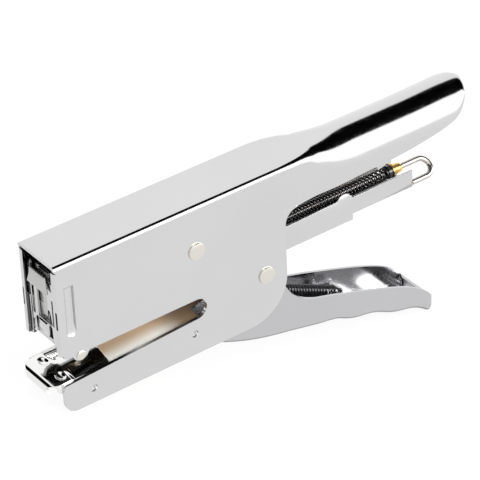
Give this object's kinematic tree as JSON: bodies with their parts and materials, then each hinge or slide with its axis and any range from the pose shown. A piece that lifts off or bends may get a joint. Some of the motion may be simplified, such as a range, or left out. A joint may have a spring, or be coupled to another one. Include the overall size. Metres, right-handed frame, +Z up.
{
  "type": "stapler",
  "caption": "Plier-style hand stapler of bright plated sheet steel, with a squeezed lower handle, a hinged magazine and a wire-hooked feeder rod.",
  "frame": {"origin": "middle of the footprint on the surface the stapler stands on, under the centre of its bounding box", "axes": "+X from the nose towards the handles, +Y towards the far side, +Z up; the stapler stands on the front corner of its jaw and the tail of its lower handle"},
  "size_m": [0.163, 0.0214, 0.0839],
  "materials": {
    "cheek_steel": "nickel-bright sheet steel, softly mirrored",
    "anvil_steel": "polished and plated steel",
    "liner_steel": "plated steel in the shade of the throat",
    "rivet_steel": "plated steel, slightly warm",
    "handle_steel": "bright plated sheet steel",
    "inner_steel": "plain steel with a light film of oil",
    "magazine_steel": "bright plated sheet steel",
    "staple_wire": "galvanised wire",
    "rod_wire": "bright wire",
    "black_spring": "blackened steel, half gloss",
    "ferrule_brass": "bright brass"
  },
  "bodies": {
    "body": {"frame": "cheek_steel", "anvil_plate": "anvil_steel", "jaw_liner": "liner_steel", "lever_rivet": "rivet_steel", "handle_rivet": "rivet_steel", "guide_studs": "rivet_steel"},
    "handle": {"lower_handle": "handle_steel", "spring_hook": "handle_steel", "return_spring": "black_spring"},
    "lever": {"drive_lever": "inner_steel", "lever_nose": "inner_steel", "lever_bush": "inner_steel"},
    "magazine": {"magazine_channel": "magazine_steel", "staple_rail": "magazine_steel", "front_plate": "magazine_steel", "magazine_bush": "inner_steel", "rail_rivets": "rivet_steel", "staple_strip": "staple_wire"},
    "driver": {"driver_blade": "inner_steel", "driver_head": "inner_steel"},
    "feeder": {"feeder_rod": "rod_wire", "rod_tip": "rod_wire", "rod_collar": "black_spring", "rod_ferrule": "ferrule_brass"},
    "pusher": {"pusher": "magazine_steel", "pusher_spring": "black_spring"}
  },
  "joints": [
    {"name": "handle_hinge", "type": "hinge", "parent": "body", "child": "handle", "pos_m": [0.00241, 0, 0.03176], "axis": [0, -1, 0], "range_deg": [0, 30], "stiffness_Nm_per_rad": 0.3, "springref_deg": -45.84, "deforming": ["return_spring"]},
    {"name": "lever_hinge", "type": "hinge", "parent": "body", "child": "lever", "pos_m": [-0.02748, 0, 0.04684], "axis": [0, -1, 0], "range_deg": [0, 21]},
    {"name": "magazine_hinge", "type": "hinge", "parent": "body", "child": "magazine", "pos_m": [0.00241, 0, 0.03176], "axis": [0, -1, 0], "range_deg": [0, 7.5]},
    {"name": "driver_slide", "type": "slide", "parent": "magazine", "child": "driver", "axis": [0.1984, 0, -0.9801], "range_m": [0, 0.0075]},
    {"name": "feeder_slide", "type": "slide", "parent": "magazine", "child": "feeder", "axis": [0.9801, 0, 0.1984], "range_m": [0, 0.09]},
    {"name": "pusher_slide", "type": "slide", "parent": "feeder", "child": "pusher", "axis": [0.9801, 0, 0.1984], "range_m": [0, 0.05], "stiffness_N_per_m": 30, "springref_m": -0.03, "deforming": ["pusher_spring"]}
  ],
  "couplings": [
    {"joint": "lever_hinge", "follows": "handle_hinge", "ratio": 0.7},
    {"joint": "magazine_hinge", "follows": "handle_hinge", "ratio": 0.25},
    {"joint": "driver_slide", "follows": "handle_hinge", "m_per_rad": 0.014324}
  ]
}
